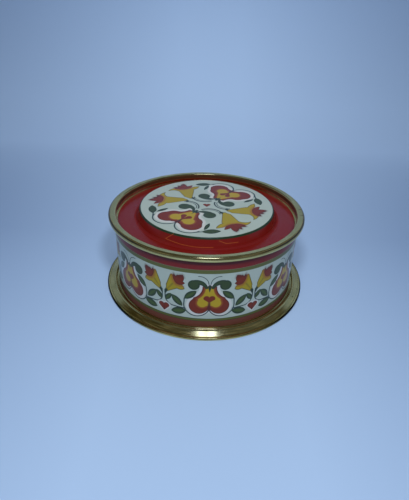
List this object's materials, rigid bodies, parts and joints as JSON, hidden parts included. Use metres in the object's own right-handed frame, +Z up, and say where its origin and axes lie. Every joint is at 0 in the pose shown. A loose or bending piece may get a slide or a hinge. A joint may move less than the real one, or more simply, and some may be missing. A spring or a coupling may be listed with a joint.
{
  "type": "round tin box",
  "caption": "Round printed tin box: a cylindrical wall seamed into a moulded foot, closed by a lift-off lid with a raised round top inside a rolled rim.",
  "frame": {"origin": "centre of the circle that the tin stands on", "axes": "+Z up along the axis of the tin, -Y towards the viewer of the picture, lock seam of the wall at +Y"},
  "size_m": [0.1396, 0.1396, 0.0555],
  "materials": {
    "lid_print": "gloss print on tinplate",
    "wall_print": "gloss print on tinplate",
    "gold_lacquer": "clear gold lacquer on bright tinplate"
  },
  "bodies": {
    "box": {"body_wall": "wall_print", "base": "gold_lacquer"},
    "lid": {"lid": "lid_print"}
  },
  "joints": [
    {"name": "lid_lift", "type": "slide", "parent": "box", "child": "lid", "axis": [0, 0, 1], "range_m": [0, 0.06]}
  ]
}
